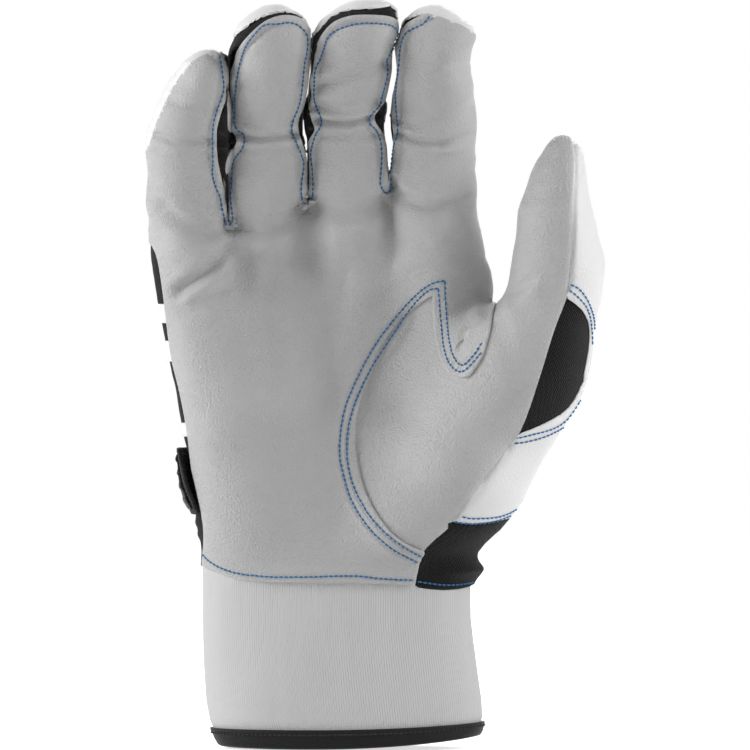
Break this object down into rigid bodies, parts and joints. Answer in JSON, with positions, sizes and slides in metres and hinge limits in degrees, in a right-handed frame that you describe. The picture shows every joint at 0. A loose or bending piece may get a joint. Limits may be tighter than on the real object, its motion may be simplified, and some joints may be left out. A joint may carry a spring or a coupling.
{
  "type": "batting glove",
  "caption": "Right-hand batting glove, filled out as worn: leather palm, stretch back, gussets between the fingers, peeling wrist strap and knit cuff.",
  "frame": {"origin": "middle of the footprint of the whole glove, on the surface that the cuff's rim stands on", "axes": "+Z from the cuff's rim to the fingertips, -Y out of the palm, +X towards the thumb"},
  "size_m": [0.1392, 0.057, 0.2233],
  "materials": {
    "palm_leather": "pale grey sheepskin with a fine grain, satin",
    "back_leather": "white synthetic leather, satin",
    "gusset_mesh": "black stretch mesh",
    "stretch_fabric": "black ribbed stretch fabric",
    "strap_webbing": "black moulded closure strap, matte",
    "hook_and_loop": "black hook and loop tape",
    "elastic": "white woven elastic",
    "knit": "pale grey fine rib knit",
    "binding": "black folded binding with a stitch line"
  },
  "bodies": {
    "root": {"palm": "palm_leather", "thumb_panel": "palm_leather", "little_ring_gusset": "gusset_mesh", "ring_middle_gusset": "gusset_mesh", "middle_index_gusset": "gusset_mesh", "little_knuckle_back": "back_leather", "ring_knuckle_back": "back_leather", "middle_knuckle_back": "back_leather", "index_knuckle_back": "back_leather", "back_panel": "stretch_fabric", "wrist_back_panel": "stretch_fabric", "wrist_slit_gusset": "stretch_fabric", "thumb_back": "back_leather", "thumb_knuckle_inset": "stretch_fabric", "thumb_heel_back": "back_leather", "wrist_side_gusset": "stretch_fabric", "back_bar_1": "back_leather", "back_bar_2": "back_leather", "back_bar_3": "back_leather", "loop_patch": "hook_and_loop", "strap_anchor": "strap_webbing", "wrist_elastic": "elastic", "knit_cuff": "knit", "cuff_binding": "binding"},
    "little_finger": {"little_finger_front": "palm_leather", "little_finger_back": "back_leather", "little_finger_gusset": "gusset_mesh"},
    "ring_finger": {"ring_finger_front": "palm_leather", "ring_finger_back": "back_leather", "ring_finger_gusset": "gusset_mesh"},
    "middle_finger": {"middle_finger_front": "palm_leather", "middle_finger_back": "back_leather", "middle_finger_gusset": "gusset_mesh"},
    "index_finger": {"index_finger_front": "palm_leather", "index_finger_back": "back_leather", "index_finger_gusset": "gusset_mesh"},
    "thumb": {"thumb_tip_front": "palm_leather", "thumb_tip_back": "back_leather"},
    "strap": {"closure_strap": "strap_webbing", "hook_patch": "hook_and_loop", "pull_tab": "strap_webbing"}
  },
  "joints": [
    {"name": "little_finger_flex", "type": "hinge", "parent": "root", "child": "little_finger", "pos_m": [-0.05722, -0.00859, 0.17793], "axis": [1, 0, 0], "range_deg": [-20, 55]},
    {"name": "ring_finger_flex", "type": "hinge", "parent": "root", "child": "ring_finger", "pos_m": [-0.03202, -0.00831, 0.18334], "axis": [1, 0, 0], "range_deg": [-20, 55]},
    {"name": "middle_finger_flex", "type": "hinge", "parent": "root", "child": "middle_finger", "pos_m": [-0.00762, -0.0084, 0.1853], "axis": [1, 0, 0], "range_deg": [-20, 55]},
    {"name": "index_finger_flex", "type": "hinge", "parent": "root", "child": "index_finger", "pos_m": [0.01768, -0.00883, 0.18428], "axis": [1, 0, 0], "range_deg": [-20, 55]},
    {"name": "thumb_flex", "type": "hinge", "parent": "root", "child": "thumb", "pos_m": [0.04967, -0.02162, 0.14249], "axis": [0.9063, -0.4226, 0], "range_deg": [-10, 30]},
    {"name": "strap_peel", "type": "hinge", "parent": "root", "child": "strap", "pos_m": [0.00259, 0.02882, 0.0805], "axis": [0, 0, -1], "range_deg": [0, 110]}
  ]
}
